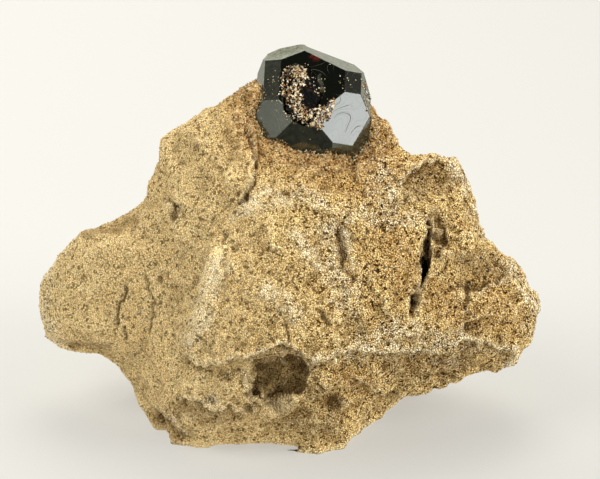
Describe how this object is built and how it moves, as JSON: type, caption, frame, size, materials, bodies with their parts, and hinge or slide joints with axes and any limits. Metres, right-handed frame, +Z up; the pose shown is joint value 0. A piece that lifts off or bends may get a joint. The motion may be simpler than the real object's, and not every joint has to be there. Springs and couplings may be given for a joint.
{
  "type": "garnet crystal in matrix, mineral specimen",
  "caption": "Black, flat-faced garnet crystal set in the summit of a broken lump of pale tan volcanic rock; a hand-sized mineral specimen that stands on its flat foot.",
  "frame": {"origin": "centre of the specimen's box, on the surface that it stands on", "axes": "+Z up; +X to the right along the lump's long direction, seen from the display side; -Y towards the display side"},
  "size_m": [0.053, 0.0324, 0.0387],
  "materials": {
    "matrix_rock": "rough, granular, pale tan, orange round the crystal",
    "garnet_crystal": "glassy, black, flat natural faces",
    "pocket_grains": "sparkling crust of small pale grains"
  },
  "bodies": {
    "root": {"matrix": "matrix_rock", "garnet": "garnet_crystal", "pocket_crust": "pocket_grains"}
  },
  "joints": []
}
